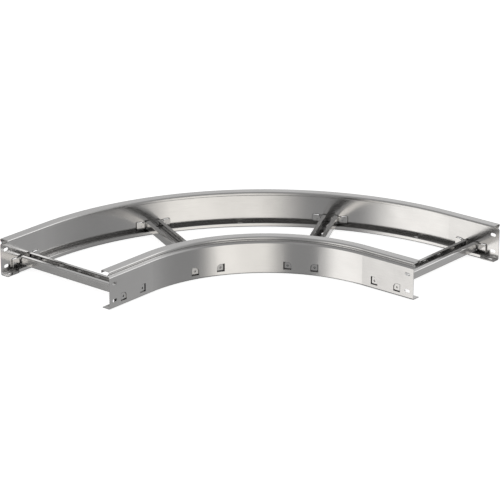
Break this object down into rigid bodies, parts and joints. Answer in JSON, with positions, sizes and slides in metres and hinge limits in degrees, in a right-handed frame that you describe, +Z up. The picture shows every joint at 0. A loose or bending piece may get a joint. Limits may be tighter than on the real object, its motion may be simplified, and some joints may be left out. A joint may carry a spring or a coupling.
{
  "type": "cable ladder bend",
  "caption": "Flat quarter-turn bend of stainless cable ladder: folded curved side rails joined by slotted channel rungs held in lanced lugs, for turning a cable run through a right angle.",
  "frame": {"origin": "middle of the bounding box on the floor", "axes": "+Z up out of the tray; the straight ends run to -X and -Y; the bend centre lies towards -X -Y"},
  "size_m": [0.731, 0.731, 0.08],
  "materials": {
    "stainless_steel": "cold-rolled satin"
  },
  "bodies": {
    "root": {"inner_side_rail": "stainless_steel", "outer_side_rail": "stainless_steel", "right_end_rung": "stainless_steel", "right_middle_rung": "stainless_steel", "left_middle_rung": "stainless_steel", "left_end_rung": "stainless_steel"}
  },
  "joints": []
}
